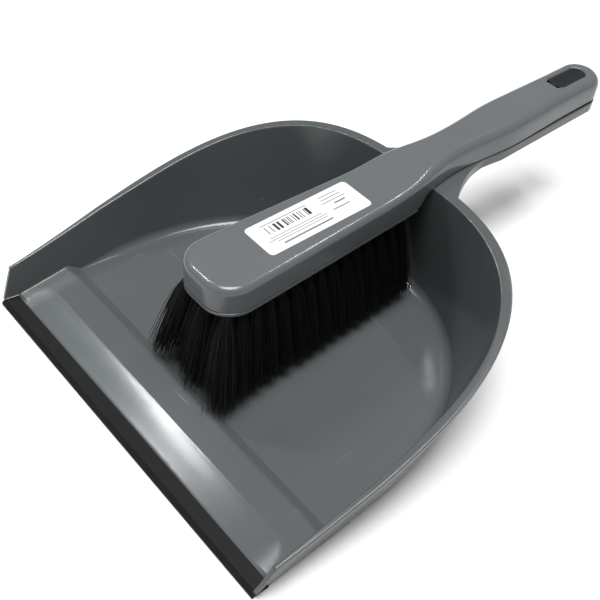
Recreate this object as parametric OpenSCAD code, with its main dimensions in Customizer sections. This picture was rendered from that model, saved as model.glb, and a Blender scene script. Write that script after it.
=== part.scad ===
// Dust pan and brush set: a D-shaped tray with a channel handle, a rubber strip
// slipped over its lip, and a hand brush that lies in the tray with its hollow
// handle resting on the pan's. Everything is drawn with the lip's front edge on
// y = 0 and the handles towards +Y; placed() then centres the set on the origin.

/* [Pan tray] */
// Width of the lip
lip_width = 220; // [180:1:265]
// Depth from the lip's front edge to the outside of the rim at the back
tray_depth = 202; // [168:1:243]
// Height of the rim above the ground at its front corners
rim_front_z = 21; // [17:0.5:26]
// Height of the rim above the ground at the back
rim_back_z = 70.2; // [58:0.1:85]
// How far the rim reaches beyond the lip on each side at its widest
rim_spread = 6.1; // [4:0.1:8]
// Thickness of the side and back wall
wall_t = 2; // [1.6:0.1:2.2]
// Thickness of the floor
floor_t = 2.2; // [1.6:0.1:3]
// Radius inside the tray where the wall meets the floor
fillet_r = 5; // [3:0.5:7]

/* [Rim] */
// Width of the flat rim along the sides and the back
rim_w = 6.4; // [5:0.1:8]
// Width of the flat rim at the front corners
rim_front_w = 3.4; // [3.3:0.1:6]
// Thickness of the flat rim
rim_t = 2; // [1.5:0.1:2.5]
// Height of the turned-down outer edge of the rim
rim_drop = 3.4; // [2.8:0.1:5]
// Thickness of the turned-down edge
rim_edge_t = 1.2; // [0.8:0.1:1.3]

/* [Ramp] */
// Distance of the ramp's ridge from the lip
ridge_y = 43.5; // [36:0.5:53]
// Height of the ridge
ridge_z = 7.2; // [6:0.1:9]
// Radius of the ridge
ridge_r = 2; // [1:0.5:3]
// Depth of the step behind the ridge, along the tray
step_run = 4; // [3:0.5:6]
// Thickness of the lip and the ramp
ramp_t = 1.6; // [1.2:0.1:2.2]

/* [Lip strip] */
// Depth of the rubber strip, from its front edge
strip_depth = 9.3; // [7:0.1:12]
// Thickness of the rubber above and below the lip
strip_t = 0.9; // [0.7:0.1:1.4]
// Thickness of the solid rubber in front of the lip
strip_nose = 2.5; // [2:0.1:4]

/* [Pan handle] */
// Length of the pan's handle beyond the rim
handle_len = 143; // [119:1:172]
// Half width of the handle where its flare ends
handle_half = 15.5; // [14:0.1:18]
// Half width and radius of the handle's round end
handle_end_r = 13.2; // [11.5:0.1:14]
// Extra half width of the flare where the handle leaves the rim
flare_w = 11; // [6:0.5:16]
// Length of the flare
flare_len = 32; // [20:1:45]
// Height of the handle's channel section
handle_h = 5.8; // [5:0.1:9]
// Wall thickness of the handle's channel
handle_t = 2; // [1.5:0.1:2.2]
// Height of the locating rib above the handle
rib_h = 5; // [3:0.5:6]

/* [Brush body] */
// Length of the block that holds the bristles
block_len = 134; // [114:1:160]
// Half width of the block at its front
block_half = 20.8; // [17.4:0.1:25]
// Half width of the block at its back
block_back_half = 16.4; // [15:0.1:19]
// Thickness of the block
block_h = 17.4; // [15:0.1:21]
// Plan radius of the block's front corners
block_corner_r = 13; // [9:0.5:15]
// Radius of the block's top edges
block_edge_r = 4; // [2:0.5:5]
// Half width of the brush at its waist, over the rim
waist_half = 12; // [10.5:0.1:13]
// Half width of the brush at its grip
grip_half = 14.5; // [12.5:0.1:15]
// Half width and radius of the brush's round end
brush_end_r = 13; // [11.5:0.1:13.5]
// Height of the handle's top above the block's top at the neck
neck_rise = 5; // [3:0.5:8]
// Further rise of the handle's top towards its end
end_rise = 2; // [0:0.5:3]
// Radius of the handle's top edges
handle_edge_r = 7; // [4:0.5:8]
// Depth of the skirt that hangs below the block's top plane
skirt_h = 8.4; // [7:0.1:10]
// Wall thickness of the brush's hollow handle
brush_wall_t = 2.4; // [1.8:0.1:3]
// Height of the hollow inside the handle
hollow_h = 10; // [8:0.5:10.5]

/* [Hanging hole] */
// Width of the D-shaped hole through both handles
hole_w = 10.8; // [8:0.1:13]
// Length of the hole
hole_len = 27.5; // [22:0.5:33]
// Wall between the hole's round end and the end of the handle
hole_end_wall = 10.5; // [9:0.5:14]
// How much wider the pan's hole is than the brush's, all round
hole_margin = 0.8; // [0.4:0.1:1.2]
// Wall of the collar round the brush's hole
collar_t = 1.6; // [1.2:0.1:2]

/* [Bristles] */
// Number of bristle tufts in each of the three full rows
tuft_count = 15; // [12:1:17]
// Radius of a tuft's hole in the block
tuft_hole_r = 1.8; // [1.5:0.1:1.8]
// Depth of a tuft's hole
tuft_hole_depth = 9.4; // [8:0.1:11]
// Radius of a tuft where its bristles end
tuft_tip_r = 4; // [3:0.1:4.2]
// Outward tilt of the outer rows in degrees
row_tilt = 12; // [6:1:14]
// Forward tilt of the first tufts in degrees
front_tilt = 15; // [8:1:16]
// Backward tilt of the last tufts in degrees
back_tilt = 4; // [2:1:8]
// Distance from the block's side to the outer row
row_margin = 5.5; // [5:0.1:6.5]

/* [Label] */
// Width of the paper label
label_w = 22.5; // [18:0.5:27]
// Length of the label
label_len = 65.5; // [55:0.5:78]
// Distance of the label from the block's front
label_setback = 37.5; // [31:0.5:45]

/* [Clearances] */
// Gap between the brush's skirt and the pan
rest_gap = 0.4; // [0.3:0.1:1]
// Gap between the locating rib and the inside of the brush's handle
rib_gap = 0.8; // [0.4:0.1:2]
// Gap between the lip and the inside of the strip
strip_gap = 0.1; // [0.05:0.05:0.2]
// Gap between the strip's back edge and the front of the side walls
corner_gap = 0.6; // [0.3:0.1:1.5]
// Height of the bristle ends above the ridge of the ramp
tip_gap = 2.4; // [1.8:0.1:5]
// Gap between a tuft and its hole, all round
tuft_gap = 0.1; // [0.05:0.05:0.2]
// Gap between the back of the block and the inside of the tray's wall
neck_gap = 2; // [1.5:0.5:4]

/* [Hidden] */
$fn = 32;

pan_grey = "#6b6f72";
brush_grey = "#73777a";
rubber_black = "#2b2b2a";
bristle_black = "#161616";
label_white = "#f2f2f0";
wire_silver = "#b9bcc0";

// Plan of the tray: where the straight sides end and the back bends round
side_steps = 8;
bend_steps = 20;
wall_levels = 4;
corner_y = tray_depth - 134;
wall_front_y = strip_depth + corner_gap;
rim_front_y = wall_front_y - 2.6;
rim_bulge = 2.81;
floor_bulge = 2.09;
rim_curve = 1.18;
edge_round = 0.5;
foot_round = 0.8;
foot_sink = 0.8;
foot_lift = 0.15;
rim_half = lip_width / 2 + rim_spread;
rim_corner_half = rim_half - 2.4;
floor_half = lip_width / 2 - wall_t;
floor_corner_half = floor_half - 1.7;
floor_back_y = tray_depth - rim_w - 2;
lip_z = strip_t + strip_gap;
strip_top_z = lip_z + ramp_t + strip_gap + strip_t;

// Heights of the brush, all carried by the pan's rim and handle
handle_end_y = tray_depth + handle_len;
skirt_z = rim_back_z + rest_gap;
block_top_z = skirt_z + skirt_h;
block_bottom_z = block_top_z - block_h;
handle_top_z = block_top_z + neck_rise;
neck_y = floor_back_y - neck_gap - 8;
block_front_y = neck_y - block_len;
parting_z = block_bottom_z + 2;
parting_inset = 0.3;
hollow_start_y = tray_depth - 3;
rib_half = waist_half - brush_wall_t - rib_gap;
rib_start_y = tray_depth + 24;
rib_end_setback = 12;
end_skirt_lift = 1.5;
grip_y = tray_depth + 58;
hole_y = handle_end_y - hole_end_wall - hole_len;
tip_z = ridge_z + tip_gap;
tuft_len = block_bottom_z - tip_z;
row_count = 5;
first_tuft_y = block_front_y + 7.5;
last_tuft_y = neck_y - 9;
tuft_pitch = (last_tuft_y - first_tuft_y) / (tuft_count - 1);
tuft_r = tuft_hole_r - tuft_gap;
staple_r = 0.3;
label_t = 0.2;
label_corner_r = 2.5;

function lerp(a, b, t) = a + (b - a) * t;
function total(list, i = 0) = i < len(list) ? list[i] + total(list, i + 1) : 0;
// Value of a table of [position, value] pairs, its corners eased over a spread
function eased(y, table, spread) =
    total([for (k = [-4:4]) lookup(y + k * spread / 4, table)]) / 9;
function unit(v) = v / norm(v);
function at(p, z) = [p[0], p[1], z];
function mirrored(half) =
    concat(half, [for (i = [len(half) - 1:-1:0]) [-half[i][0], half[i][1]]]);
// Outward normals of a plan path that runs anticlockwise
function normals(path) = [for (i = [0:len(path) - 1])
    let (t = unit(path[min(i + 1, len(path) - 1)] - path[max(i - 1, 0)]))
    [t[1], -t[0]]];

// Plan of the tray from the right front corner round the back to the left one:
// straight sides, then a superellipse
function half_tray(front, corner, back_y, bulge) = concat(
    [for (i = [0:side_steps - 1]) front + (corner - front) * i / side_steps],
    [for (i = [0:bend_steps - 1])
        let (a = 90 * i / bend_steps, r = pow(pow(cos(a), bulge) + pow(sin(a), bulge), -1 / bulge))
        [corner[0] * r * cos(a), corner[1] + (back_y - corner[1]) * r * sin(a)]]);
function tray_path(front, corner, back_y, bulge) =
    let (half = half_tray(front, corner, back_y, bulge))
    concat(half, [[0, back_y]],
        [for (i = [len(half) - 1:-1:0]) [-half[i][0], half[i][1]]]);

rim_path = tray_path([rim_corner_half, rim_front_y], [rim_half, corner_y - 2],
    tray_depth, rim_bulge);
floor_path = tray_path([floor_half, wall_front_y], [floor_corner_half, corner_y + 5],
    floor_back_y, floor_bulge);
rim_normals = normals(rim_path);
floor_normals = normals(floor_path);

// Share of the way from the rim's front corner to its back
function rim_share(i) = (rim_path[i][1] - rim_front_y) / (tray_depth - rim_front_y);
function rim_z(i) = rim_front_z + (rim_back_z - rim_front_z) * pow(rim_share(i), rim_curve);
function rim_width(i) =
    rim_front_w + (rim_w - rim_front_w) * min(1, rim_share(i) / 0.3);

// Section of the tray's wall at one place on its path: foot, fillet, leaning
// wall, flat rim and turned-down edge
function wall_section(i) =
    let (f = floor_path[i], nf = floor_normals[i], r = rim_path[i], nr = rim_normals[i],
        z = rim_z(i), inner = r - nr * rim_width(i), lean = inner - f, rise = z - floor_t)
    concat(
        [at(f - nf * fillet_r, floor_t - foot_sink)],
        [for (a = [22.5:22.5:90]) let (h = fillet_r * (1 - cos(a)))
            at(f + lean * h / rise - nf * fillet_r * (1 - sin(a)), floor_t + h)],
        [for (k = [1:wall_levels - 1])
            let (h = lerp(fillet_r, rise - edge_round, k / wall_levels))
            at(f + lean * h / rise, floor_t + h)],
        [at(inner, z - edge_round),
         at(inner + nr * edge_round, z),
         at(r - nr * edge_round, z),
         at(r, z - edge_round),
         at(r, z - rim_drop),
         at(r - nr * rim_edge_t, z - rim_drop),
         at(r - nr * rim_edge_t, z - rim_t),
         at(inner + nr * wall_t, z - rim_t)],
        [for (k = [wall_levels - 1:-1:1]) let (s = k / wall_levels)
            at(lerp(f + nf * wall_t, inner + nr * wall_t, s), lerp(foot_round, z - rim_t, s))],
        [at(f + nf * wall_t, foot_round),
         at(f + nf * (wall_t - foot_round), foot_lift)]);

// Closed skin over a row of rings that have the same number of points
module skin(rings) {
    n = len(rings[0]);
    last = len(rings) - 1;
    polyhedron(
        points = [for (ring = rings) each ring],
        faces = concat(
            [[for (j = [0:n - 1]) j]],
            [[for (j = [n - 1:-1:0]) last * n + j]],
            [for (i = [0:last - 1], j = [0:n - 1])
                let (a = i * n + j, b = i * n + (j + 1) % n)
                each [[a, a + n, b], [b, a + n, b + n]]]));
}

// Extrudes a drawing made in the (y, z) plane across the set, centred on x = 0
module across(width) {
    translate([-width / 2, 0, 0])
        rotate([90, 0, 90])
            linear_extrude(width) children();
}

// Moves a part from the lip to the origin under the middle of the set
module placed() {
    translate([0, -handle_end_y / 2, 0]) children();
}

// Floor, step, ridge, ramp and lip, as seen from the side
module floor_side() {
    underside = ridge_z - ramp_t;
    polygon(concat(
        [[strip_nose + strip_gap, lip_z],
         [strip_nose + strip_gap, lip_z + ramp_t],
         [strip_depth, lip_z + ramp_t]],
        [for (a = [-8:17:60]) [ridge_y + ridge_r * sin(a), ridge_z - ridge_r * (1 - cos(a))]],
        [[ridge_y + step_run, floor_t],
         [tray_depth, floor_t],
         [tray_depth, 0],
         [ridge_y + step_run - ramp_t, 0],
         [ridge_y, underside],
         [strip_depth, lip_z]]));
}

// Plan of the floor, its edge inside the wall's thickness
module floor_plan() {
    edge = [for (i = [0:len(floor_path) - 2])
        (floor_path[i] + floor_path[i + 1]) / 2 + floor_normals[i] * wall_t / 2];
    tongue = lip_width / 2 - wall_t / 2;
    polygon(concat([[-tongue, 0], [tongue, 0], [tongue, wall_front_y]], edge,
        [[-tongue, wall_front_y]]));
}

// Plan of the pan's handle, drawn in by an inset
function pan_handle_half(y) =
    let (t = (y - tray_depth) / handle_len, flare = max(0, 1 - (y - tray_depth) / flare_len))
    handle_half + (handle_end_r - handle_half) * max(0, t) + flare_w * pow(min(1, flare), 3);
module pan_handle_plan(start, inset) {
    centre_y = handle_end_y - handle_end_r;
    polygon(mirrored(concat(
        [for (i = [0:24]) let (y = start + (centre_y - start) * i / 24)
            [pan_handle_half(y) - inset, y]],
        [for (a = [10:10:80])
            [(handle_end_r - inset) * cos(a), centre_y + (handle_end_r - inset) * sin(a)]])));
}

// D-shaped hanging hole, grown all round by a margin
module hole_plan(margin) {
    r = hole_w / 2;
    translate([0, hole_y + hole_len - r]) circle(r + margin);
    translate([-r - margin, hole_y - margin]) square([hole_w + 2 * margin, hole_len - r + margin]);
}

module pan_handle() {
    base_z = rim_back_z - handle_h;
    difference() {
        union() {
            difference() {
                translate([0, 0, base_z])
                    linear_extrude(handle_h) pan_handle_plan(tray_depth - rim_w / 2, 0);
                translate([0, 0, base_z - 1])
                    linear_extrude(handle_h - handle_t + 1)
                        pan_handle_plan(tray_depth + rim_t, handle_t);
            }
            translate([0, 0, base_z])
                linear_extrude(handle_h) hole_plan(hole_margin + collar_t);
            translate([-rib_half, rib_start_y, rim_back_z - handle_t / 2])
                cube([2 * rib_half, hole_y - rib_end_setback - rib_start_y, rib_h + handle_t / 2]);
        }
        translate([0, 0, base_z - 1])
            linear_extrude(handle_h + 2) hole_plan(hole_margin);
    }
}

module dust_pan() {
    color(pan_grey) placed() union() {
        skin([for (i = [0:len(rim_path) - 1]) wall_section(i)]);
        intersection() {
            across(2 * rim_half) floor_side();
            linear_extrude(2 * ridge_z) floor_plan();
        }
        pan_handle();
    }
}

// Rubber channel with a tapering nose, slipped over the lip
module lip_strip() {
    slot_y = strip_nose;
    nose_z = strip_top_z / 2;
    color(rubber_black) placed() across(lip_width)
        difference() {
            polygon([[0, 0], [strip_depth, 0], [strip_depth, strip_top_z],
                [slot_y, strip_top_z], [0, nose_z]]);
            translate([slot_y, strip_t])
                square([strip_depth, ramp_t + 2 * strip_gap]);
        }
}

// Plan half width of the brush, its corners and its end included
function brush_half(y) =
    let (base = eased(y, [[block_front_y + 22, block_half], [neck_y, block_back_half],
            [tray_depth + 9, waist_half], [tray_depth + 29, waist_half],
            [grip_y, grip_half], [hole_y, brush_end_r]], 9),
        front = block_front_y + block_corner_r - y,
        tail = y - handle_end_y + brush_end_r)
    front > 0 ? base - block_corner_r + sqrt(pow(block_corner_r, 2) - pow(front, 2))
    : tail > 0 ? max(2, base * sqrt(max(0, 1 - pow(tail / brush_end_r, 2))))
    : base;
function edge_r(y) =
    eased(y, [[neck_y, block_edge_r], [neck_y + 20, handle_edge_r]], 6);
function top_z(y) =
    let (level = eased(y, [[neck_y - 8, block_top_z], [neck_y + 6, handle_top_z],
            [handle_end_y - 30, handle_top_z + end_rise]], 7),
        r = edge_r(y),
        front = max(0, block_front_y + block_edge_r - y),
        tail = max(0, y - handle_end_y + r))
    level - r + sqrt(pow(r, 2) - pow(min(r, max(front, tail)), 2));
function bottom_z(y) =
    eased(y, [[neck_y, parting_z], [neck_y + 7, skirt_z], [hole_y - 60, skirt_z],
        [handle_end_y, skirt_z + end_skirt_lift]], 1.5);
// Rounded section of the brush across one place along it
function brush_section(y) =
    let (w = brush_half(y), top = top_z(y), bottom = bottom_z(y),
        r = min(edge_r(y), w * 0.9, (top - bottom) * 0.9),
        half = concat([[w, bottom]],
            [for (a = [0:22.5:90]) [w - r + r * cos(a), top - r + r * sin(a)]]))
    concat([for (p = half) [-p[0], y, p[1]]],
        [for (i = [len(half) - 1:-1:0]) [half[i][0], y, half[i][1]]]);
middle_steps = 38;
brush_stations = concat(
    [for (a = [0:15:75]) block_front_y + block_corner_r * (1 - cos(a))],
    [for (i = [0:middle_steps]) block_front_y + block_corner_r
        + (handle_end_y - brush_end_r - block_front_y - block_corner_r) * i / middle_steps],
    [for (a = [20:20:80]) handle_end_y - brush_end_r * (1 - sin(a))],
    [handle_end_y]);

// Plan of the part of the block below its parting line
module block_plan() {
    front = block_front_y + parting_inset;
    polygon(mirrored(concat(
        [for (a = [8:14:80]) let (y = front + block_corner_r * (1 - cos(a)))
            [brush_half(y) - parting_inset, y]],
        [for (i = [0:16]) let (y = lerp(front + block_corner_r, neck_y - 3, i / 16))
            [brush_half(y) - parting_inset, y]])));
}

// Plan of the hollow inside the brush's handle
module hollow_plan() {
    centre_y = handle_end_y - brush_end_r;
    r = brush_end_r - brush_wall_t;
    polygon(mirrored(concat(
        [for (i = [0:20]) let (y = hollow_start_y + (centre_y - hollow_start_y) * i / 20)
            [brush_half(y) - brush_wall_t, y]],
        [for (a = [15:15:75]) [r * cos(a), centre_y + r * sin(a)]])));
}

// Places along a row; every second row has one tuft less and stands half a
// pitch further back
function row_tufts(row) = row % 2 == 1 ? tuft_count : tuft_count - 1;
function row_side(row) = (row - 1) / (row_count - 1) * 2 - 1;
function tuft_y(row, i) = first_tuft_y + tuft_pitch * (i + (row % 2 == 1 ? 0 : 0.5));
// Moves a tuft, its hole or its staple from the origin, where it points down
// along -Z, to its place in the block
module at_tufts(row) {
    side = row_side(row);
    for (i = [0:row_tufts(row) - 1]) {
        y = tuft_y(row, i);
        t = (y - first_tuft_y) / (last_tuft_y - first_tuft_y);
        lengthways = atan(lookup(t, [[0, -tan(front_tilt)], [0.35, 0], [1, tan(back_tilt)]]));
        translate([side * (brush_half(y) - row_margin), y, block_bottom_z])
            rotate([lengthways, -side * row_tilt, 0]) children();
    }
}

module brush_body() {
    hole_z = skirt_z - 1;
    color(brush_grey) placed() difference() {
        union() {
            difference() {
                skin([for (y = brush_stations) brush_section(y)]);
                translate([0, 0, hole_z])
                    linear_extrude(hollow_h + 1) hollow_plan();
            }
            translate([0, 0, block_bottom_z])
                linear_extrude(tuft_hole_depth + 2) block_plan();
            translate([0, 0, skirt_z + end_skirt_lift])
                linear_extrude(hollow_h) hole_plan(collar_t);
        }
        translate([0, 0, hole_z]) linear_extrude(block_h + neck_rise + 10) hole_plan(0);
        for (row = [1:row_count]) at_tufts(row)
            translate([0, 0, -1]) cylinder(r = tuft_hole_r, h = tuft_hole_depth + 1);
    }
}

module label() {
    x = label_w / 2 - label_corner_r;
    y = label_len - label_corner_r;
    color(label_white) placed() translate([0, block_front_y + label_setback, block_top_z])
        linear_extrude(label_t) union() {
            translate([-label_w / 2, label_corner_r])
                square([label_w, label_len - 2 * label_corner_r]);
            translate([-x, 0]) square([2 * x, label_len]);
            for (px = [-x, x], py = [label_corner_r, y]) translate([px, py]) circle(label_corner_r);
        }
}

// One row of tufts: each a bundle folded into its hole and spreading downwards
module tuft_row(row) {
    root = tuft_hole_depth - 2 * staple_r - 2 * tuft_gap;
    color(bristle_black) placed() at_tufts(row)
        rotate_extrude() polygon([[0, root], [tuft_r, root], [tuft_r, 0],
            [tuft_tip_r, -tuft_len], [0, -tuft_len]]);
}

// Wire staples that hold the folded tufts at the bottoms of their holes
module tuft_staples() {
    color(wire_silver) placed() for (row = [1:row_count]) at_tufts(row)
        translate([0, 0, tuft_hole_depth - staple_r - tuft_gap])
            rotate([0, 90, 0]) cylinder(r = staple_r, h = 2 * tuft_r - 0.4, center = true);
}

dust_pan();
lip_strip();
brush_body();
label();
tuft_row(1);  // tuft_row_1
tuft_row(2);  // tuft_row_2
tuft_row(3);  // tuft_row_3
tuft_row(4);  // tuft_row_4
tuft_row(5);  // tuft_row_5
tuft_staples();
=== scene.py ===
"""Dust pan and brush set in mid-grey polypropylene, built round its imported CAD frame.

Pieces are drawn in millimetres from the middle of the lip's front edge, with the
handles towards +Y, and are moved into the frame's metres as they are finished.
"""
import math
import random

import bmesh
import bpy
from mathutils import Matrix, Vector


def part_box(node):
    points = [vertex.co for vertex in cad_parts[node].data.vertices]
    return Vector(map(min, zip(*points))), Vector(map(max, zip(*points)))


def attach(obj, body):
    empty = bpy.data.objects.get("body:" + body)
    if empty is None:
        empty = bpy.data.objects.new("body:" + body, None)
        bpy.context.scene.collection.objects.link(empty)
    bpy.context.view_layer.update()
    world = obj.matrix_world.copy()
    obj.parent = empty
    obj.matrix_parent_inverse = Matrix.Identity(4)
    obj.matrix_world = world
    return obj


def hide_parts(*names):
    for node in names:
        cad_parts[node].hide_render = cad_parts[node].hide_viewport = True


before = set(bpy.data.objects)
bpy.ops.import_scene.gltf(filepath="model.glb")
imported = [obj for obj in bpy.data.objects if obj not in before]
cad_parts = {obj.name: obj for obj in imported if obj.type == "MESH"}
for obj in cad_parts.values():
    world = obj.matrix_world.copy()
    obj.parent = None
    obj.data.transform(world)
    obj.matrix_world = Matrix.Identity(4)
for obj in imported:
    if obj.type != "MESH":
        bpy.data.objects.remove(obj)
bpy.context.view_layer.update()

# --- Dust pan -----------------------------------------------------------------
# The tray, its flat turned-down rim, the ramp behind the lip and the channel
# handle are one thin injection moulding in semi-gloss mid-grey polypropylene.
# It was pushed out of its mould from below, so every outer wall is open downwards.
MM = 0.001
lip_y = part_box("lip_strip")[0].y
lip_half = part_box("lip_strip")[1].x / MM
pan_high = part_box("dust_pan")[1]
rim_half = pan_high.x / MM
handle_end = (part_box("brush_body")[1].y - lip_y) / MM

shell_t = 2.0
lip_top = 2.6
floor_top = 2.2
strip_depth = 9.3
wall_front = 9.9
tray_back = 202.0
rim_front_z = 21.0
rim_back_z = 70.2
rim_level_y = 201.2
rim_climb = 1.18
crease_y = 26.0
crease_z = 5.45
crease_hollow = 0.42
ridge_y = 40.0
ridge_z = 7.2
ridge_r = 3.0
ridge_turn = 38
ridge_soft = 1.6
ridge_fall = 0.02
step_end = 47.5
flat_end = 94.0
facet_curl = 1.0
ramp_columns = 54
toe_tip = Vector((lip_half - 0.9, 1.4))
toe_z = 3.9
fillet_toe, fillet_front, fillet_back = 0.25, 1.0, 4.6
fillet_run = 30
fillet_points = 7
top_round = 0.7
wall_shares = (0.2, 0.4, 0.6, 0.8, 1)

# Plan curves of the tray: front corner, corner where the bend starts, back, bulge
rim_path = (Vector((rim_half - 2.4, 9.2)), Vector((rim_half, 66)), tray_back, 2.88)
floor_path = (Vector((lip_half - 2, wall_front)), Vector((lip_half - 3.7, 73)), 193.6, 2.09)


def lerp(a, b, t):
    return a + (b - a) * t


def smooth(t):
    t = min(1, max(0, t))
    return t * t * (3 - 2 * t)


def raised(plan, z):
    """A point of the plan at a height."""
    return Vector((plan.x, plan.y, z))


def turned(centre, radius, degrees):
    """Point on a circle, counted from +x towards +y."""
    angle = math.radians(degrees)
    return Vector((centre[0] + radius * math.cos(angle), centre[1] + radius * math.sin(angle)))


def tray_point(path, s):
    """Point on a plan curve: s runs from 0 to 1 along the side and to 2 round the back."""
    front, corner, back, bulge = path
    if s <= 1:
        return front.lerp(corner, s)
    angle = (s - 1) * math.pi / 2
    c, d = max(0, math.cos(angle)), math.sin(angle)
    r = (c ** bulge + d ** bulge) ** (-1 / bulge)
    return Vector((corner.x * r * c, corner.y + (back - corner.y) * r * d))


def outward(path, s):
    if s >= 2:
        return Vector((0, 1))
    along = tray_point(path, min(2, s + 0.004)) - tray_point(path, max(0, s - 0.004))
    return Vector((along.y, -along.x)).normalized()


def rim_height(y):
    share = (y - rim_path[0].y) / (rim_level_y - rim_path[0].y)
    return rim_front_z + (rim_back_z - rim_front_z) * min(1, max(0, share)) ** rim_climb


def ramp_height(x, y):
    """Top of the moulding in front of the flat floor: lip, slightly hollow lower facet
    whose ends curl up to the walls, upper facet, rounded ridge and the step behind it."""
    if y <= wall_front:
        return lip_top
    if y < ridge_y:
        curl = facet_curl * max(0, (abs(x) - flat_end) / (lip_half - 2 - flat_end)) ** 2
        share = (y - wall_front) / (crease_y - wall_front)
        bowed = crease_hollow * (share ** 4 - share) if share < 1 else 0
        lower = lerp(lip_top, crease_z, share) + bowed + curl
        upper = lerp(crease_z, ridge_z, (y - crease_y) / (ridge_y - crease_y))
        edge = ridge_z - ridge_fall * max(0, ridge_soft - (ridge_y - y)) ** 2
        return min(edge, lower, upper)
    turned_y = ridge_r * math.sin(math.radians(ridge_turn))
    if y < ridge_y + turned_y:
        return ridge_z - ridge_r + math.sqrt(ridge_r ** 2 - (y - ridge_y) ** 2)
    shoulder = ridge_z - ridge_r * (1 - math.cos(math.radians(ridge_turn)))
    return lerp(shoulder, floor_top, (y - ridge_y - turned_y) / (step_end - ridge_y - turned_y))


# Rows of the ramp from front to back, then stations round the rest of the tray
ramp_rows = [2.7, 9.0, wall_front]
ramp_rows += [wall_front + (crease_y - wall_front) * i / 16 for i in range(1, 17)]
ramp_rows += [crease_y + 0.4] + [crease_y + 1.2 * i for i in range(1, 11)]
ramp_rows += [ridge_y - 0.6, ridge_y, ridge_y + 0.6, ridge_y + 1.2, ridge_y + 1.85]
ramp_rows += [ridge_y + 3.3, ridge_y + 5, ridge_y + 6.5, step_end]
side_length = floor_path[1].y - wall_front
toe_stations = [-1, -0.75, -0.5, -0.25, -0.08]
first_row = len(toe_stations)
stations = toe_stations + [(y - wall_front) / side_length for y in ramp_rows[2:]]
last_ramp_station = len(stations) - 1
stations += [lerp(stations[-1], 1, i / 7) for i in range(1, 8)]
stations += [1 + i / 44 for i in range(1, 45)]


def looked_up(y, table):
    """Value at a place in a list of (place, value) pairs, straight between them."""
    for (y0, v0), (y1, v1) in zip(table, table[1:]):
        if y <= y1:
            return lerp(v0, v1, max(0, (y - y0) / (y1 - y0)))
    return table[-1][1]


def eased(y, table, spread):
    """The same with its corners rounded off over a distance."""
    return sum(looked_up(y + k * spread / 4, table) for k in range(-4, 5)) / 9


# Width of the flat rim at places along the tray
flat_table = [(9.2, 1.8), (40, 2.6), (70, 3.4), (95, 4.5), (150, 4.6), (185, 6.2), (202, 6.4)]
flat_ease = 12


def wall_section(s):
    """Points from the floor up the fillet and the leaning wall and over its top
    edge to the outer edge of the flat rim. Ahead of the floor, where s is below 0,
    the foot runs out over the end of the lip strip as a toe."""
    side = max(0, s)
    foot, foot_out = tray_point(floor_path, side), outward(floor_path, side)
    rim, rim_out = tray_point(rim_path, side), outward(rim_path, side)
    top = rim_height(rim.y)
    inner = rim - rim_out * eased(rim.y, flat_table, flat_ease)
    base = ramp_height(foot.x, foot.y) if foot.y < step_end else floor_top
    fillet = lerp(fillet_front, fillet_back, smooth((foot.y - step_end) / fillet_run))
    start = floor_top
    if s < 0:
        foot = foot.lerp(toe_tip, -s)
        base = start = toe_z
        fillet = lerp(fillet_front, fillet_toe, -s)
    lean = (inner - foot) / (top - start)
    points = []
    for step in range(fillet_points):
        angle = math.radians(90 / (fillet_points - 1) * step)
        rise = fillet * (1 - math.cos(angle))
        plan = foot + lean * (base + rise - start) - foot_out * fillet * (1 - math.sin(angle))
        points.append(raised(plan, base + rise))
    for share in wall_shares:
        height = lerp(base + fillet, top - top_round, share)
        points.append(raised(foot + lean * (height - start), height))
    for angle in (30, 60, 90):
        turn = math.radians(angle)
        plan = inner + rim_out * top_round * (1 - math.cos(turn))
        points.append(raised(plan, top - top_round * (1 - math.sin(turn))))
    points.append(raised(rim - rim_out * edge_round, top))
    return points


# Outline of the handle: it leaves the rim in a flare, draws in to a waist under the
# brush's own, swells for the grip and ends in a half circle
edge_round = 0.8
rim_drop = 3.4
handle_drop = 5.8
handle_end_r = 13.2
corner_half, waist_half, grip_half = 27.1, 12.7, 14.4
waist_y = 238.5
flare_l = 37.5
flare_bend = 1.9
swell_l = 14
flare_places = [tray_back + 1.2 + 1.6 * i for i in range(22)]
grip_places = [238 + 6.7 * i for i in range(15)]
end_centre = handle_end - handle_end_r


def handle_half(y):
    """Half the width of the handle: flare, waist, grip and an even taper to the end."""
    if y < waist_y:
        return waist_half + (corner_half - waist_half) * ((waist_y - y) / flare_l) ** flare_bend
    swell = waist_half + (grip_half - waist_half) * smooth((y - waist_y) / swell_l)
    taper = max(0, y - waist_y - swell_l) / (handle_end - handle_end_r - waist_y - swell_l)
    return swell - (grip_half - handle_end_r) * taper


corner_s = next(s / 2000 for s in range(3000, 4000)
                if tray_point(rim_path, s / 2000).x < corner_half)
corner_station = next(i for i, s in enumerate(stations) if s > corner_s)
stations.insert(corner_station, corner_s)
handle_line = [Vector((handle_half(y), y)) for y in flare_places + grip_places
               if y < end_centre - 1]
handle_line += [turned((0, end_centre), handle_end_r, a) for a in range(0, 91, 6)]
handle_line[-1].x = 0


def half_hole(width, length, start, margin, corner):
    """Half of a D-shaped hole with its round end to the back, as points and normals."""
    r = width / 2
    points = [(Vector((0, start)), Vector((0, -1)))]
    for a in (-90, -60, -30, 0):
        turn = turned((0, 0), 1, a)
        points.append((Vector((r - corner, start + corner)) + turn * corner, turn))
    for share in (0.25, 0.5, 0.75):
        points.append((Vector((r, lerp(start + corner, start + length - r, share))),
                       Vector((1, 0))))
    for a in range(0, 91, 10):
        turn = turned((0, 0), 1, a)
        points.append((Vector((0, start + length - r)) + turn * r, turn))
    points[-1][0].x = 0
    return [(p + n * margin, n) for p, n in points]


hole_w = 10.8
hole_len = 27.5
hole_start = handle_end - 10.5 - hole_len
hole_margin = 0.8


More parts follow.
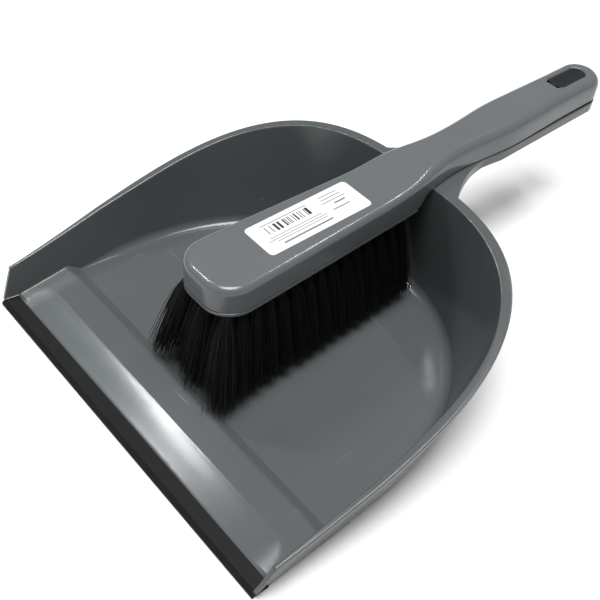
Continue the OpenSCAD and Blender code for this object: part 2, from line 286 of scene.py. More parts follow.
def draw_out(bm, edges, place):
    """Extrudes a chain of edges once and puts each new vertex where place says."""
    made = bmesh.ops.extrude_edge_only(bm, edges=edges)["geom"]
    fresh = {g for g in made if isinstance(g, bmesh.types.BMVert)}
    for vert in fresh:
        vert.co = place(vert)
    return [g for g in made if isinstance(g, bmesh.types.BMEdge) and fresh.issuperset(g.verts)]


def chain(bm, points, layer, first=0):
    """Vertices joined by edges into an open line; numbers them in a layer."""
    verts = [bm.verts.new(p) for p in points]
    for i, vert in enumerate(verts):
        vert[layer] = first + i
    edges = [bm.edges.new(pair) for pair in zip(verts, verts[1:])]
    return verts, edges


def mirrored_shell(bm):
    """Second half of a sheet drawn on the +x side, welded down the middle."""
    bmesh.ops.remove_doubles(bm, verts=bm.verts, dist=0.002)
    whole = list(bm.verts) + list(bm.edges) + list(bm.faces)
    bmesh.ops.mirror(bm, geom=whole, matrix=Matrix.Identity(4), merge_dist=0.002, axis="X")
    bmesh.ops.remove_doubles(bm, verts=bm.verts, dist=0.002)
    bmesh.ops.recalc_face_normals(bm, faces=bm.faces)


pan_mesh = bmesh.new()
station = pan_mesh.verts.layers.int.new("station")
sections = [wall_section(s) for s in stations]

# Lip, ramp, ridge and step: a grid whose side follows the foot of the wall
grid = bmesh.ops.create_grid(pan_mesh, x_segments=ramp_columns,
                             y_segments=len(ramp_rows) - 1, size=1)
columns = sorted({round(v.co.x, 5) for v in grid["verts"]})
rows = sorted({round(v.co.y, 5) for v in grid["verts"]})
wall_foot = {}
floor_edge = []
for vert in grid["verts"]:
    column = columns.index(round(vert.co.x, 5))
    row = rows.index(round(vert.co.y, 5))
    y = ramp_rows[row]
    side = sections[first_row + max(0, row - 2)][0]
    x = side.x * column / ramp_columns
    at_side = column == ramp_columns and row >= 2
    lean_y = (side.y - y) * smooth((column / ramp_columns - 0.9) * 10) if row >= 2 else 0
    vert.co = side if at_side else Vector((x, y + lean_y, ramp_height(x, y)))
    if at_side:
        vert[station] = first_row + row - 2
        wall_foot[first_row + row - 2] = vert
    if row == len(rows) - 1:
        floor_edge.append((column, vert))

# Foot of the wall: the toe, the ramp's side, then round the flat floor behind it
foot_verts = []
for i in range(len(stations)):
    vert = wall_foot.get(i) or pan_mesh.verts.new(sections[i][0])
    vert[station] = i
    foot_verts.append(vert)
front_edge = [vert for column, vert in sorted(floor_edge, key=lambda pair: pair[0])]
pan_mesh.faces.new(front_edge + foot_verts[last_ramp_station + 1:])

# Wall, drawn up ring by ring to the outer edge of the flat rim
ring = [pan_mesh.edges.get(pair) or pan_mesh.edges.new(pair)
        for pair in zip(foot_verts, foot_verts[1:])]
for level in range(1, len(sections[0])):
    ring = draw_out(pan_mesh, ring, lambda v: sections[v[station]][level])
rim_verts = sorted({v for e in ring for v in e.verts}, key=lambda v: v[station])

# Flat top of the handle with its hole
outline = [(tray_point(rim_path, max(0, s)), outward(rim_path, max(0, s)), rim_drop)
           for s in stations[:corner_station + 1]]
for i, point in enumerate(handle_line):
    before = handle_line[i - 1] if i else outline[corner_station][0]
    after = handle_line[i + 1] if i + 1 < len(handle_line) else Vector((-1, point.y))
    out = Vector((after.y - before.y, before.x - after.x)).normalized()
    if i == len(handle_line) - 1:
        out = Vector((0, 1))
    reach = (point - outline[corner_station][0]).length
    outline.append((point, out, lerp(rim_drop, handle_drop, smooth(reach / 9))))
rim_out = outline[corner_station][1]
flare_out = outline[corner_station + 1][1]
outline[corner_station] = (outline[corner_station][0],
                           (rim_out + flare_out) / (1 + rim_out.dot(flare_out)), rim_drop)
corner_point, corner_out = outline[corner_station][:2]
rim_verts[corner_station].co = raised(corner_point - corner_out * edge_round, rim_back_z)
handle_verts, handle_edges = chain(
    pan_mesh, [raised(p - n * edge_round, rim_back_z)
               for p, n, drop in outline[corner_station + 1:]], station, corner_station + 1)
pan_hole = half_hole(hole_w, hole_len, hole_start, hole_margin, 1.4)
hole_verts, hole_edges = chain(
    pan_mesh, [raised(p + n * edge_round, rim_back_z) for p, n in pan_hole], station)
pan_mesh.faces.new([rim_verts[corner_station]] + handle_verts + hole_verts[::-1]
                   + rim_verts[:corner_station:-1])

# Rounded outer edge and skirt, all the way from the front corner to the handle's end
skirt = [pan_mesh.edges.get(pair)
         for pair in zip(rim_verts[:corner_station], rim_verts[1:corner_station + 1])]
skirt.append(pan_mesh.edges.get((rim_verts[corner_station], handle_verts[0])))
skirt += handle_edges


def skirt_point(vert, turn, share):
    point, out, drop = outline[vert[station]]
    top = rim_height(point.y)
    plan = point - out * edge_round * (1 - math.sin(turn))
    round_z = top - edge_round * (1 - math.cos(turn))
    return raised(plan, lerp(round_z, top - drop, share))


for turn in (22.5, 45, 67.5, 90):
    skirt = draw_out(pan_mesh, skirt, lambda v: skirt_point(v, math.radians(turn), 0))
for share in (0.5, 1):
    skirt = draw_out(pan_mesh, skirt, lambda v: skirt_point(v, math.pi / 2, share))


def collar_point(vert, turn, depth):
    point, out = pan_hole[vert[station]]
    plan = point + out * edge_round * (1 - math.sin(turn))
    return raised(plan, rim_back_z - edge_round * (1 - math.cos(turn)) - depth)


for turn in (30, 60, 90):
    hole_edges = draw_out(pan_mesh, hole_edges, lambda v: collar_point(v, math.radians(turn), 0))
hole_edges = draw_out(pan_mesh, hole_edges,
                      lambda v: collar_point(v, math.pi / 2, handle_drop - edge_round))
mirrored_shell(pan_mesh)
floor_face = max(pan_mesh.faces, key=lambda f: f.calc_area())
if floor_face.normal.z < 0:
    bmesh.ops.reverse_faces(pan_mesh, faces=pan_mesh.faces)


def placed(name, data):
    """An object at the origin, linked into the scene."""
    made = bpy.data.objects.new(name, data)
    bpy.context.scene.collection.objects.link(made)
    return made


def as_mesh(thing):
    """The mesh of an object with its modifiers applied; the object itself is removed."""
    mesh = bpy.data.meshes.new_from_object(
        thing.evaluated_get(bpy.context.evaluated_depsgraph_get()))
    bpy.data.objects.remove(thing)
    return mesh


def thickened(bm, thickness, offset, **settings):
    """A sheet given its wall."""
    sheet = bpy.data.meshes.new("working")
    bm.to_mesh(sheet)
    bm.free()
    working = placed("working", sheet)
    wall = working.modifiers.new("wall", "SOLIDIFY")
    wall.thickness = thickness
    wall.offset = offset
    wall.use_even_offset = True
    for setting, value in settings.items():
        setattr(wall, setting, value)
    shell = bmesh.new()
    shell.from_mesh(as_mesh(working))
    return shell


# The wall, kept off the ground and clear of the strip's slot under the lip
ground_gap = 0.15
slot_top = 1.0
strip_back = strip_depth + 0.4
pan_mesh = thickened(pan_mesh, shell_t, -1, use_quality_normals=True, use_rim=True)
for vert in pan_mesh.verts:
    x, y, z = vert.co
    in_slot = y < strip_back and z < lip_top - 0.5 and abs(x) < lip_half - 1
    vert.co.z = max(z, slot_top if in_slot else ground_gap)

# Webs that carry the outside of the side walls down past the ramp to the ground
web_gap = 0.3
web_t = 1.65
web_rise = 2.2
web_foot_z = 0.2
web_end = step_end + 12
web_rows = [s for s in stations if 0 <= s and wall_front + s * side_length < web_end]


def web_point(side, s, z):
    """Point of a web at a height, on the lean of the wall above it."""
    section = wall_section(s)
    low, high = section[fillet_points], section[fillet_points + len(wall_shares) - 1]
    lean = (high - low).xy / (high.z - low.z)
    spot = tray_point(floor_path, s) + lean * (z - floor_top) + outward(floor_path, s) * web_gap
    return Vector((side * spot.x, max(spot.y, strip_back), z))


for side in (-1, 1):
    web = bmesh.new()
    number = web.verts.layers.int.new("number")
    web_top = [web_point(side, s, wall_section(s)[0].z + web_rise) for s in web_rows]
    web_edges = chain(web, web_top, number)[1]
    draw_out(web, web_edges, lambda v: web_point(side, web_rows[v[number]], web_foot_z))
    bmesh.ops.recalc_face_normals(web, faces=web.faces)
    inward = sum(f.normal.x for f in web.faces) * side < 0
    web = thickened(web, web_t, -1 if inward else 1)
    web_data = bpy.data.meshes.new("side_web")
    web.to_mesh(web_data)
    web.free()
    pan_mesh.from_mesh(web_data)

# Rib on the handle that finds the hollow of the brush
rib_half = 8.8
rib_start = tray_back + 24
rib_end = hole_start - 12
rib_top = pan_high.z / MM
rib = bmesh.ops.create_cube(pan_mesh, size=1)["verts"]
rib_foot = rim_back_z - 0.6
bmesh.ops.scale(pan_mesh, verts=rib,
                vec=(2 * rib_half, rib_end - rib_start, rib_top - rib_foot))
bmesh.ops.translate(pan_mesh, verts=rib,
                    vec=(0, (rib_start + rib_end) / 2, (rib_top + rib_foot) / 2))
bmesh.ops.bevel(pan_mesh, geom=list({e for v in rib for e in v.link_edges}), offset=1.0, segments=3,
                affect="EDGES", profile=0.5, material=-1)


class Socket:
    """A value in a material's node tree; arithmetic on it adds Math nodes."""

    def __init__(self, tree, out):
        self.tree = tree
        self.out = out

    def math(self, operation, *others):
        return self.tree.add("ShaderNodeMath", {"operation": operation},
                             dict(enumerate((self,) + others)))

    def __add__(self, other):
        return self.math("ADD", other)

    def __mul__(self, other):
        return self.math("MULTIPLY", other)

    def __sub__(self, other):
        return self.math("SUBTRACT", other)

    def __rsub__(self, other):
        return self * -1 + other

    def __gt__(self, other):
        return self.math("GREATER_THAN", other)

    def __lt__(self, other):
        return self.math("LESS_THAN", other)

    __radd__ = __add__
    __rmul__ = __mul__

    def between(self, low, high):
        """1 where the value is between two limits and 0 elsewhere."""
        return (self > low) * (self < high)

    def ramped(self, low, high):
        """0 at the first value and 1 at the second, clamped."""
        return self.tree.add("ShaderNodeMapRange", {"clamp": True},
                             {"Value": self, "From Min": low, "From Max": high})


class Finish:
    """A procedural material on Object coordinates."""

    def __init__(self, name):
        self.material = bpy.data.materials.new(name)
        self.material.use_nodes = True
        self.nodes = self.material.node_tree.nodes
        self.links = self.material.node_tree.links
        self.nodes.clear()
        self.where = self.add("ShaderNodeTexCoord", {}, {}, "Object")

    def add(self, kind, settings, inputs, output=0):
        node = self.nodes.new(kind)
        for setting, value in settings.items():
            setattr(node, setting, value)
        for socket, value in inputs.items():
            if isinstance(value, Socket):
                self.links.new(value.out, node.inputs[socket])
            else:
                node.inputs[socket].default_value = value
        return Socket(self, node.outputs[output])

    def noise(self, scale, detail=3, roughness=0.5, stretch=(1, 1, 1)):
        """Noise about so many cells to the metre, drawn out along the axes by stretch."""
        place = self.add("ShaderNodeMapping", {}, {"Vector": self.where, "Scale": stretch})
        return self.add("ShaderNodeTexNoise", {}, {"Vector": place, "Scale": scale,
                                                   "Detail": detail, "Roughness": roughness})

    def mix(self, share, first, second):
        return self.add("ShaderNodeMix", {"data_type": "RGBA"}, {0: share, 6: first, 7: second}, 2)

    def axes(self):
        """Places across and along the set."""
        split = self.add("ShaderNodeSeparateXYZ", {}, {"Vector": self.where})
        outs = split.out.node.outputs
        return Socket(self, outs[0]), Socket(self, outs[1])

    def bump(self, height, strength, distance):
        return self.add("ShaderNodeBump", {},
                        {"Height": height, "Strength": strength, "Distance": distance})

    def finish(self, **inputs):
        """Puts the shader on the output: its inputs by name, _ standing for a space."""
        shader = self.add("ShaderNodeBsdfPrincipled", {},
                          {name.replace("_", " "): value for name, value in inputs.items()})
        out = self.nodes.new("ShaderNodeOutputMaterial")
        self.links.new(shader.out, out.inputs["Surface"])
        return self.material


scuff_grey = (0.42, 0.43, 0.44, 1)
scuff_share = 0.1
plastic_ior = 1.49


def moulded_plastic(name, colour, worn, roughness, grain):
    """Polypropylene: faint flow mottling, fine tool grain, hairline scuffs."""
    finish = Finish(name)
    flow = finish.noise(14, 3)
    cloud = finish.noise(60, 4, 0.6, (1, 0.35, 1))
    tool = finish.noise(2600, 2, 0.6)
    scuff_a = finish.noise(210, 2, 0.5, (1, 0.06, 1)).ramped(0.68, 0.74)
    scuff_b = finish.noise(190, 2, 0.5, (0.07, 1, 1)).ramped(0.69, 0.75)
    scuffs = (scuff_a + scuff_b) * finish.noise(30, 2).ramped(0.5, 0.65)
    tone = finish.mix(flow.ramped(0.3, 0.7), colour, worn)
    tone = finish.mix(scuffs * scuff_share, tone, scuff_grey)
    shine = roughness + (cloud - 0.5) * 0.06 + (tool - 0.5) * grain + scuffs * 0.12
    skin = tool * 0.5 + cloud * 0.9 + scuffs * -0.6
    return finish.finish(Base_Color=tone, Roughness=shine, IOR=plastic_ior,
                         Normal=finish.bump(skin, 0.16, 0.0002))


def finished(name, bm, material, body, nodes, sharp=32):
    """Moves a mesh drawn in millimetres from the lip into the frame as a piece."""
    bmesh.ops.scale(bm, vec=(MM, MM, MM), verts=bm.verts)
    bmesh.ops.translate(bm, vec=(0, lip_y, 0), verts=bm.verts)
    mesh = bpy.data.meshes.new(name)
    bm.to_mesh(mesh)
    bm.free()
    mesh.shade_smooth()
    mesh.set_sharp_from_angle(angle=math.radians(sharp))
    mesh.materials.clear()
    mesh.materials.append(material)
    piece = placed(name, mesh)
    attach(piece, body)
    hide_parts(*nodes)
    return piece


def even_flats(piece):
    """Even shading over a piece's flats, up to its sharp edges."""
    piece.modifiers.new("flats", "WEIGHTED_NORMAL").keep_sharp = True


def soften(piece, width, angle):
    """Small radius on a piece's edges that are sharper than an angle, and even flats."""
    bevel = piece.modifiers.new("edge_radius", "BEVEL")
    bevel.width = width * MM
    bevel.segments = 2
    bevel.angle_limit = math.radians(angle)
    even_flats(piece)


pan_plastic = moulded_plastic("pan_polypropylene", (0.086, 0.095, 0.097, 1),
                              (0.094, 0.102, 0.105, 1), roughness=0.15, grain=0.05)
pan = finished("pan_tray", pan_mesh, pan_plastic, "pan", ["dust_pan"])
soften(pan, 0.25, 50)


# --- Lip strip ----------------------------------------------------------------
# A soft black rubber extrusion with a tapering nose. Its slot is pushed over the
# front edge of the lip, so that the pan follows an uneven floor.
strip_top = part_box("lip_strip")[1].z / MM
strip_nose = 2.5
slot_end = strip_nose + 0.3
lamella_t = 0.9
strip_mesh = bmesh.new()
strip_line = [(0, 0.1), (strip_depth, 0), (strip_depth, lamella_t), (slot_end, lamella_t),
              (slot_end, strip_top - lamella_t), (strip_depth, strip_top - lamella_t),
              (strip_depth, strip_top), (strip_nose, strip_top), (0.5, strip_top * 0.62),
              (0, strip_top * 0.42)]
strip_end = strip_mesh.faces.new([strip_mesh.verts.new((-lip_half, y, z)) for y, z in strip_line])
strip_spans = 44
for span in range(strip_spans):
    drawn = bmesh.ops.extrude_face_region(strip_mesh, geom=[strip_end])["geom"]
    if span:
        bmesh.ops.delete(strip_mesh, geom=[strip_end], context="FACES_ONLY")
    strip_end = next(g for g in drawn if isinstance(g, bmesh.types.BMFace))
    bmesh.ops.translate(strip_mesh, vec=(2 * lip_half / strip_spans, 0, 0), verts=strip_end.verts)
bmesh.ops.recalc_face_normals(strip_mesh, faces=strip_mesh.faces)

rubber = Finish("black_rubber")
rubber_die = rubber.noise(900, 2, 0.5, (0.02, 1, 1))
rubber_dust = rubber.noise(120, 4, 0.65)
rubber_skin = rubber.finish(
    Base_Color=rubber.mix(rubber_dust.ramped(0.45, 0.8), (0.0068, 0.0068, 0.0066, 1),
                          (0.012, 0.0117, 0.0113, 1)),
    Specular_IOR_Level=0.2, Roughness=0.6 + (rubber_dust - 0.5) * 0.25,
    Normal=rubber.bump(rubber_die + rubber_dust * 0.4, 0.35, 0.0002))
strip = finished("rubber_lip_strip", strip_mesh, rubber_skin, "pan",
                 ["lip_strip"], 30)
soften(strip, 0.22, 25)


# --- Brush body ---------------------------------------------------------------
# Block and hollow handle are one moulding in the same polypropylene, a little
# lighter. Its skirt hangs over the pan's rim and handle, and its lower edge shows
# the parting line of the mould. A D-shaped hole with a collar goes through its end.
brush_low, brush_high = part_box("brush_body")
block_half = brush_high.x / MM
block_front = (brush_low.y - lip_y) / MM + 1.5    # the block's nose is drawn back a little
block_bottom = brush_low.z / MM
handle_top = brush_high.z / MM
block_top = 79.0
skirt_z = 70.6
neck_y = 183.6
neck_top = 84.0
parting_z = block_bottom + 2
parting_inset = 0.45
hollow_start = tray_back - 3
ceiling_z = skirt_z + 10
block_corner_r = 16.0
brush_end_r = 13.0
brush_wall = 2.4
neck_rise_l = 8
kick_y = 247
skirt_kick = 1.5
collar_t = 1.6

# Half width, edge radius and height of the top at places along the brush, and the
# distances over which their corners are rounded off
half_table = [(71.6, block_half), (neck_y, 16.4), (211, 12), (231, 12), (260, 14.5),
              (hole_start, brush_end_r)]
edge_table = [(neck_y - 4, 4), (neck_y + 22, 7)]
level_table = [(168, block_top), (198, neck_top), (298, handle_top)]
half_ease, edge_ease, level_ease = 9, 6, 12


corner_centre = (block_half - block_corner_r, block_front + block_corner_r)
plan = [Vector((0, block_front))]
plan += [turned(corner_centre, block_corner_r, a) for a in range(-90, 1, 6)]
side_places = [corner_centre[1] + 2.4 * i for i in range(1, 50)] + [neck_y - 0.3, neck_y]
side_places += [neck_y + 0.9 * i for i in range(1, 17)] + [hollow_start, hollow_start + 0.3]
side_places += [hollow_start + 3 * i for i in range(1, 36)] + [hole_start - 2, hole_start]
side_places += [hole_start + 2.2 * i for i in range(1, 12)]
end_y = handle_end - brush_end_r
plan += [Vector((eased(y, half_table, half_ease), y)) for y in sorted(side_places)
         if corner_centre[1] < y < end_y - 0.5]
plan += [turned((0, end_y), brush_end_r, a) for a in range(0, 91, 6)]
plan[-1].x = 0
plan_out = []
for i, point in enumerate(plan):
    along = plan[min(i + 1, len(plan) - 1)] - plan[max(i - 1, 0)]
    plan_out.append(Vector((along.y, -along.x)).normalized())
plan_out[0] = Vector((0, -1))
plan_out[-1] = Vector((0, 1))
brush_hole = half_hole(hole_w, hole_len, hole_start, 0, 1.2)
first_hole = next(i for i, p in enumerate(plan) if p.y >= hole_start)
hole_round = 0.9


def zone(y):
    """block, neck or hollow: which way the section of the brush is closed below."""
    return "block" if y <= neck_y - 0.2 else "neck" if y <= hollow_start + 0.1 else "hollow"


def skirt_height(y):
    rise = smooth((y - neck_y) / neck_rise_l) * (skirt_z - parting_z)
    lift = skirt_kick * max(0, (y - kick_y) / (handle_end - kick_y))
    return parting_z + rise + lift


def brush_ring(i):
    """The points of the section at one place round the plan, from the flat of the top
    over the edge radius and down the side, then in under the block or up the hollow."""
    point, out = plan[i], plan_out[i]
    y = point.y
    level = eased(y, level_table, level_ease)
    radius = eased(y, edge_table, edge_ease)
    low = skirt_height(y)

    def at(inset, z):
        spot = point - out * inset
        return Vector((max(0, spot.x), spot.y, z))

    ring_points = []
    for angle in range(0, 91, 10):
        turn = math.radians(angle)
        ring_points.append(at(radius * (1 - math.sin(turn)),
                              level - radius * (1 - math.cos(turn))))
    ring_points += [at(0, lerp(level - radius, low, share)) for share in (0.35, 0.7)]
    if zone(y) == "block":
        ring_points += [at(0, low + 0.85), at(parting_inset, low + 0.6),
                        at(parting_inset, low + 0.35), at(0, low + 0.1),
                        at(0, block_bottom + 0.5), at(0.5, block_bottom),
                        at(brush_wall, block_bottom)]
    elif zone(y) == "neck":
        ring_points += [at(0, low + 0.5), at(0.12, low + 0.15), at(0.4, low), at(0.8, low),
                        at(1.2, low), at(1.6, low), at(brush_wall, low)]
    else:
        ring_points += [at(0, low + 0.5), at(0.12, low + 0.15), at(0.4, low),
                        at(brush_wall - 0.4, low), at(brush_wall, low + 0.4),
                        at(brush_wall, ceiling_z - 1), at(brush_wall + 0.8, ceiling_z)]
    return ring_points


def hole_spot(i, margin, z, otherwise):
    """Where the section meets the middle: on the hole's edge, or on the middle line."""
    k = i - first_hole
    if 0 <= k < len(brush_hole):
        spot, out = brush_hole[k]
        return raised(spot + out * margin, z)
    return Vector((0, otherwise.y, z))


brush_mesh = bmesh.new()
place = brush_mesh.verts.layers.int.new("place")
rings = [brush_ring(i) for i in range(len(plan))]
top_line = [hole_spot(i, hole_round, points[0].z, points[0]) for i, points in enumerate(rings)]
top_edges = chain(brush_mesh, top_line, place)[1]
skin_edges = top_edges
for level in range(len(rings[0])):
    skin_edges = draw_out(brush_mesh, skin_edges, lambda v: rings[v[place]][level])
draw_out(brush_mesh, skin_edges, lambda v: hole_spot(
    v[place], collar_t, rings[v[place]][-1].z, rings[v[place]][-1]))

# Wall of the hanging hole, drawn down to the collar's end and up again to the hollow
last_hole = first_hole + len(brush_hole) - 1
hole_chain = [e for e in top_edges if all(first_hole <= v[place] <= last_hole for v in e.verts)]
collar_low = skirt_z + skirt_kick


def brush_hole_point(vert, margin, z):
    spot, out = brush_hole[vert[place] - first_hole]
    return raised(spot + out * margin, z)


for turn in (30, 60, 90):
    angle = math.radians(turn)
    hole_chain = draw_out(brush_mesh, hole_chain, lambda v: brush_hole_point(
        v, hole_round * (1 - math.sin(angle)), handle_top - hole_round * (1 - math.cos(angle))))
for margin, z in ((0, lerp(handle_top, collar_low, 0.5)), (0, collar_low + 0.3),
                  (0.3, collar_low), (collar_t - 0.3, collar_low), (collar_t, collar_low + 0.3),
                  (collar_t, ceiling_z)):
    hole_chain = draw_out(brush_mesh, hole_chain, lambda v: brush_hole_point(v, margin, z))
mirrored_shell(brush_mesh)
bmesh.ops.dissolve_degenerate(brush_mesh, edges=brush_mesh.edges, dist=0.001)
holes = [e for e in brush_mesh.edges if e.is_boundary]
bmesh.ops.holes_fill(brush_mesh, edges=holes, sides=0)
bmesh.ops.recalc_face_normals(brush_mesh, faces=brush_mesh.faces)

brush_plastic = moulded_plastic("brush_polypropylene", (0.12, 0.13, 0.135, 1),
                                (0.13, 0.14, 0.145, 1), roughness=0.17, grain=0.05)
brush = finished("brush_block_and_handle", brush_mesh, brush_plastic, "brush",
                 ["brush_body"], 38)
even_flats(brush)


# --- Paper label --------------------------------------------------------------
# A smooth white self-adhesive paper label with round corners. It carries a plain
# group of bars and grey rules, and no wording.
label_low, label_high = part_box("label")
label_corner_r = 2.5
paper_white, ink_black = (0.75, 0.75, 0.745, 1), (0.03, 0.03, 0.033, 1)
rule_share = 0.8
label_mesh = bmesh.new()
bmesh.ops.create_cube(label_mesh, size=1)
label_size = label_high - label_low
bmesh.ops.scale(label_mesh, verts=label_mesh.verts,
                vec=(label_size.x / MM, label_size.y / MM, label_size.z / MM))
label_y = ((label_low.y + label_high.y) / 2 - lip_y) / MM
label_z = (label_low.z + label_high.z) / 2 / MM
bmesh.ops.translate(label_mesh, verts=label_mesh.verts, vec=(0, label_y, label_z))
upright = [e for e in label_mesh.edges if abs(e.verts[0].co.z - e.verts[1].co.z) > 0.05]
bmesh.ops.bevel(label_mesh, geom=upright, offset=label_corner_r, segments=8, affect="EDGES",
                profile=0.5, material=-1)

paper = Finish("label_paper")
across, along = paper.axes()
label_x = across * 1000
label_along = along * 1000 - label_low.y * 1000
ink = label_x.between(-6.6, -1.2) * label_along.between(9, 36)
bars = paper.add("ShaderNodeTexWhiteNoise", {"noise_dimensions": "1D"},
                 {"W": (label_along * 2.1).math("FLOOR")}) > 0.5
ink = ink * bars
# Rules: from and to across the label's middle, then from and to along it
rules = ((-8.3, -7.8, 8, 37), (1.2, 1.6, 7, 40), (2.9, 3.3, 5, 42), (4.6, 5.0, 9, 41),
         (6.9, 7.9, 11, 42), (-8.2, -7.7, 45, 57), (-5.9, -5.4, 45, 58), (-3.6, -3.1, 44, 59),
         (-1.2, -0.2, 50, 57), (2.6, 3.3, 46, 57))
for x0, x1, y0, y1 in rules:
    ink = ink + label_x.between(x0, x1) * label_along.between(y0, y1) * rule_share
fibre = paper.noise(1500, 3, 0.6)
label_paper = paper.finish(
    Base_Color=paper.mix(ink.ramped(0, 1), paper_white, ink_black),
    Roughness=0.42 + (fibre - 0.5) * 0.15,
    Normal=paper.bump(fibre, 0.08, 0.0001))
finished("paper_label", label_mesh, label_paper, "brush", ["label"], 30)


# --- Bristle tufts ------------------------------------------------------------
# Black polypropylene filaments in five rows of tufts. Each bundle is folded over a
# wire staple and driven into its hole, so it leaves the block tight and fans out
# to ragged tips just above the ramp. The front tufts lean forward.
tuft_counts = (15, 14, 15, 14, 15)
filaments = 255
filament_r = 0.14
tuft_len = 52.0
tuft_r = 1.9
tuft_spread = 5.2
front_loose = (1.75, 1.4, 1.15)
fan_bend = 0.62
stray_share = 0.03
root_depth = 1.2
strand_widths = (1, 1, 1, 0.9, 0.5)
row_margin = 5.5
row_tilt = 10
front_tilt = 11
back_tilt = 4
lean_table = [(0, -math.tan(math.radians(front_tilt))), (0.35, 0),
              (1, math.tan(math.radians(back_tilt)))]
first_tuft = block_front + 7
last_tuft = neck_y - 9
tuft_pitch = (last_tuft - first_tuft) / (tuft_counts[0] - 1)
lowest_tip = 8.3
tip_ragged = 0.9

bristle = Finish("black_bristles")
strand = bristle.noise(1400, 2, 0.5, (1, 1, 0.05))
bristle_black = bristle.finish(
    Base_Color=bristle.mix(strand.ramped(0.35, 0.7), (0.0035, 0.0035, 0.0035, 1),
                           (0.0085, 0.0085, 0.009, 1)),
    Specular_IOR_Level=0.25, Roughness=0.55 + (strand - 0.5) * 0.2,
    Normal=bristle.bump(strand, 0.2, 0.0001))
chance = random.Random(41)


def in_disc():
    radius, angle = math.sqrt(chance.random()), chance.uniform(0, 2 * math.pi)
    return Vector((radius * math.cos(angle), radius * math.sin(angle), 0))


for row, count in enumerate(tuft_counts):
    side = row / 2 - 1
    lines = bpy.data.curves.new(f"tuft_row_{row + 1}", "CURVE")
    lines.dimensions = "3D"
    lines.bevel_depth = filament_r * MM
    lines.bevel_resolution = 0
    lines.use_fill_caps = True
    for i in range(count):
        y = first_tuft + tuft_pitch * (i + (0.5 if row % 2 else 0))
        t = (y - first_tuft) / (last_tuft - first_tuft)
        tilt = (Matrix.Rotation(math.radians(-side * row_tilt), 3, "Y")
                @ Matrix.Rotation(math.atan(looked_up(t, lean_table)), 3, "X"))
        root = Vector((side * (eased(y, half_table, half_ease) - row_margin), y, block_bottom))
        loose = front_loose[i] if i < len(front_loose) else 1
        for strand_no in range(filaments):
            start = in_disc()
            end = start * 0.55 + in_disc() * 0.55
            stray = chance.random() < stray_share * loose ** 2
            reach = tuft_len * (1 + chance.gauss(0, 0.02))
            reach = reach * (0.95 if stray else 1) * (1.05 if i == 0 else 1)
            spread = tuft_spread * loose * (1.7 if stray else 1)
            bow = in_disc() * (1.6 if stray else 0.7)
            points = []
            for step in range(len(strand_widths)):
                u = step / (len(strand_widths) - 1)
                offset = (start * tuft_r * (1 - u) + end * spread * u ** fan_bend
                          + bow * 4 * u * (1 - u))
                drop = root_depth - (reach + root_depth) * u
                spot = root + tilt @ (offset + Vector((0, 0, drop)))
                spot.z = max(spot.z, lowest_tip + tip_ragged * chance.random())
                points.append(spot)
            line = lines.splines.new("POLY")
            line.points.add(len(points) - 1)
            for point, spot, width in zip(line.points, points, strand_widths):
                point.co = (spot.x * MM, spot.y * MM + lip_y, spot.z * MM, 1)
                point.radius = width
    row_mesh = as_mesh(placed("drawn", lines))
    row_mesh.materials.clear()
    row_mesh.materials.append(bristle_black)
    row_mesh.shade_smooth()
    tufts = placed(f"bristles_row_{row + 1}", row_mesh)
    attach(tufts, "brush")
    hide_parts(f"tuft_row_{row + 1}")


# --- Tuft staples -------------------------------------------------------------
# Flat bits of galvanised steel wire at the bottoms of the tuft holes. They keep
# their CAD shape; only the drawn-wire finish is added here.
wire = Finish("staple_wire")
drawing = wire.noise(3000, 2, 0.5, (0.03, 1, 1))
staple_steel = wire.finish(
    Base_Color=wire.mix(drawing.ramped(0.3, 0.7), (0.5, 0.5, 0.5, 1), (0.62, 0.62, 0.61, 1)),
    Metallic=1.0, Roughness=0.34 + (drawing - 0.5) * 0.2,
    Normal=wire.bump(drawing, 0.2, 0.00005))
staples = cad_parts["tuft_staples"]
staples.data.materials.clear()
staples.data.materials.append(staple_steel)


# --- Studio -------------------------------------------------------------------
# A pale floor, a broad soft light overhead, and three small softboxes that give the
# plastic its crisp highlights. The camera looks down over the right front corner.
floor_half = 12
floor_mesh = bmesh.new()
bmesh.ops.create_grid(floor_mesh, x_segments=1, y_segments=1, size=floor_half)
stage_mesh = bpy.data.meshes.new("studio_floor")
floor_mesh.to_mesh(stage_mesh)
floor_mesh.free()
stage_finish = Finish("pale_floor")
stage_tone = stage_finish.noise(3, 2)
stage_mesh.materials.append(stage_finish.finish(
    Base_Color=stage_finish.mix(stage_tone.ramped(0.3, 0.7), (0.8, 0.8, 0.8, 1),
                                (0.82, 0.82, 0.82, 1)),
    Roughness=0.7 + stage_tone * 0.1))
studio_floor = placed("studio_floor", stage_mesh)

lamps_aim = Vector((0, 0, 0.03))
lamps_off = 1.3


def softbox(name, direction, width, depth, power, tint=(1, 1, 1), turn=0):
    """Rectangular lamp in a direction from the set, turned about its own axis."""
    light = bpy.data.lights.new(name, "AREA")
    light.color = tint
    light.shape = "RECTANGLE"
    light.size = width
    light.size_y = depth
    light.energy = power
    lamp = placed(name, light)
    lamp.location = lamps_aim + Vector(direction).normalized() * lamps_off
    facing = Vector(direction).to_track_quat("Z", "Y").to_matrix()
    lamp.rotation_euler = (facing @ Matrix.Rotation(math.radians(turn), 3, "Z")).to_euler()


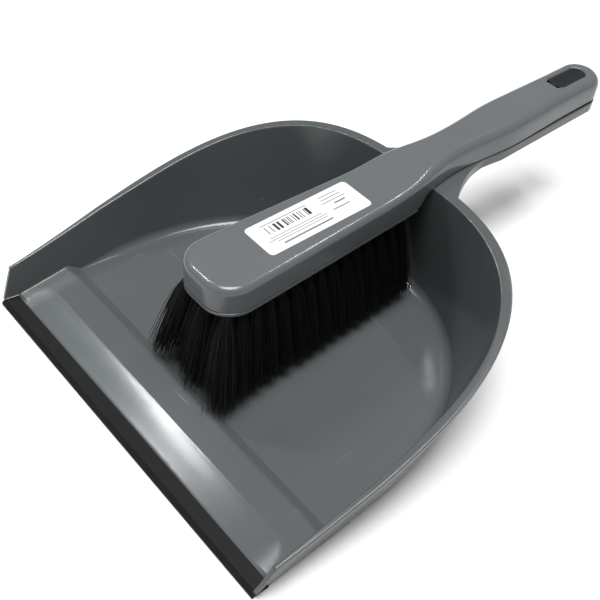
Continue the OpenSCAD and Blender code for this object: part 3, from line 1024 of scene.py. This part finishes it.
softbox("left_lamp", (-0.53, -0.18, 0.84), width=0.045, depth=0.3, power=3.6, turn=30)
softbox("left_panel", (-0.55, -0.1, 0.83), width=0.09, depth=0.5, power=0.42, tint=(0.76, 0.85, 1))
softbox("back_softbox", (0.1, 0.5, 0.86), width=0.3, depth=0.05, power=2.4)

# Broad overhead light, the same over the whole floor
overhead = bpy.data.lights.new("overhead", "SUN")
overhead.energy = 3.5
overhead.angle = math.radians(33)
overhead_lamp = placed("overhead", overhead)
overhead_lamp.rotation_euler = Vector((0.1, -0.07, 1)).to_track_quat("Z", "Y").to_euler()

# Dim surroundings that look pale where they are seen directly
surround_light = 0.1
surround_seen = 0.8
world = bpy.data.worlds.new("studio")
world.use_nodes = True
surround = world.node_tree.nodes["Background"]
surround.inputs["Color"].default_value = (1, 1, 1, 1)
light_path = world.node_tree.nodes.new("ShaderNodeLightPath")
strength = world.node_tree.nodes.new("ShaderNodeMath")
strength.operation = "MULTIPLY_ADD"
strength.inputs[1].default_value = surround_seen
strength.inputs[2].default_value = surround_light
world.node_tree.links.new(light_path.outputs["Is Camera Ray"], strength.inputs[0])
world.node_tree.links.new(strength.outputs[0], surround.inputs["Strength"])
bpy.context.scene.world = world
bpy.context.scene.view_settings.view_transform = "Standard"

camera_azimuth = 45.808
camera_elevation = 45.475
camera_roll = 5.378
camera_distance = 0.493
camera_target = Vector((0.0061, -0.0596, 0.030))
lens_mm = 56.77
azimuth, elevation = math.radians(camera_azimuth), math.radians(camera_elevation)
back = Vector((math.sin(azimuth) * math.cos(elevation),
               -math.cos(azimuth) * math.cos(elevation), math.sin(elevation)))
camera_data = bpy.data.cameras.new("camera")
camera_data.sensor_width = 36
camera_data.lens = lens_mm
camera_data.clip_start = 0.01
camera = placed("camera", camera_data)
camera.location = camera_target + back * camera_distance
level_turn = back.to_track_quat("Z", "Y").to_matrix()
camera.rotation_euler = (
    level_turn @ Matrix.Rotation(math.radians(camera_roll), 3, "Z")).to_euler()
bpy.context.scene.camera = camera
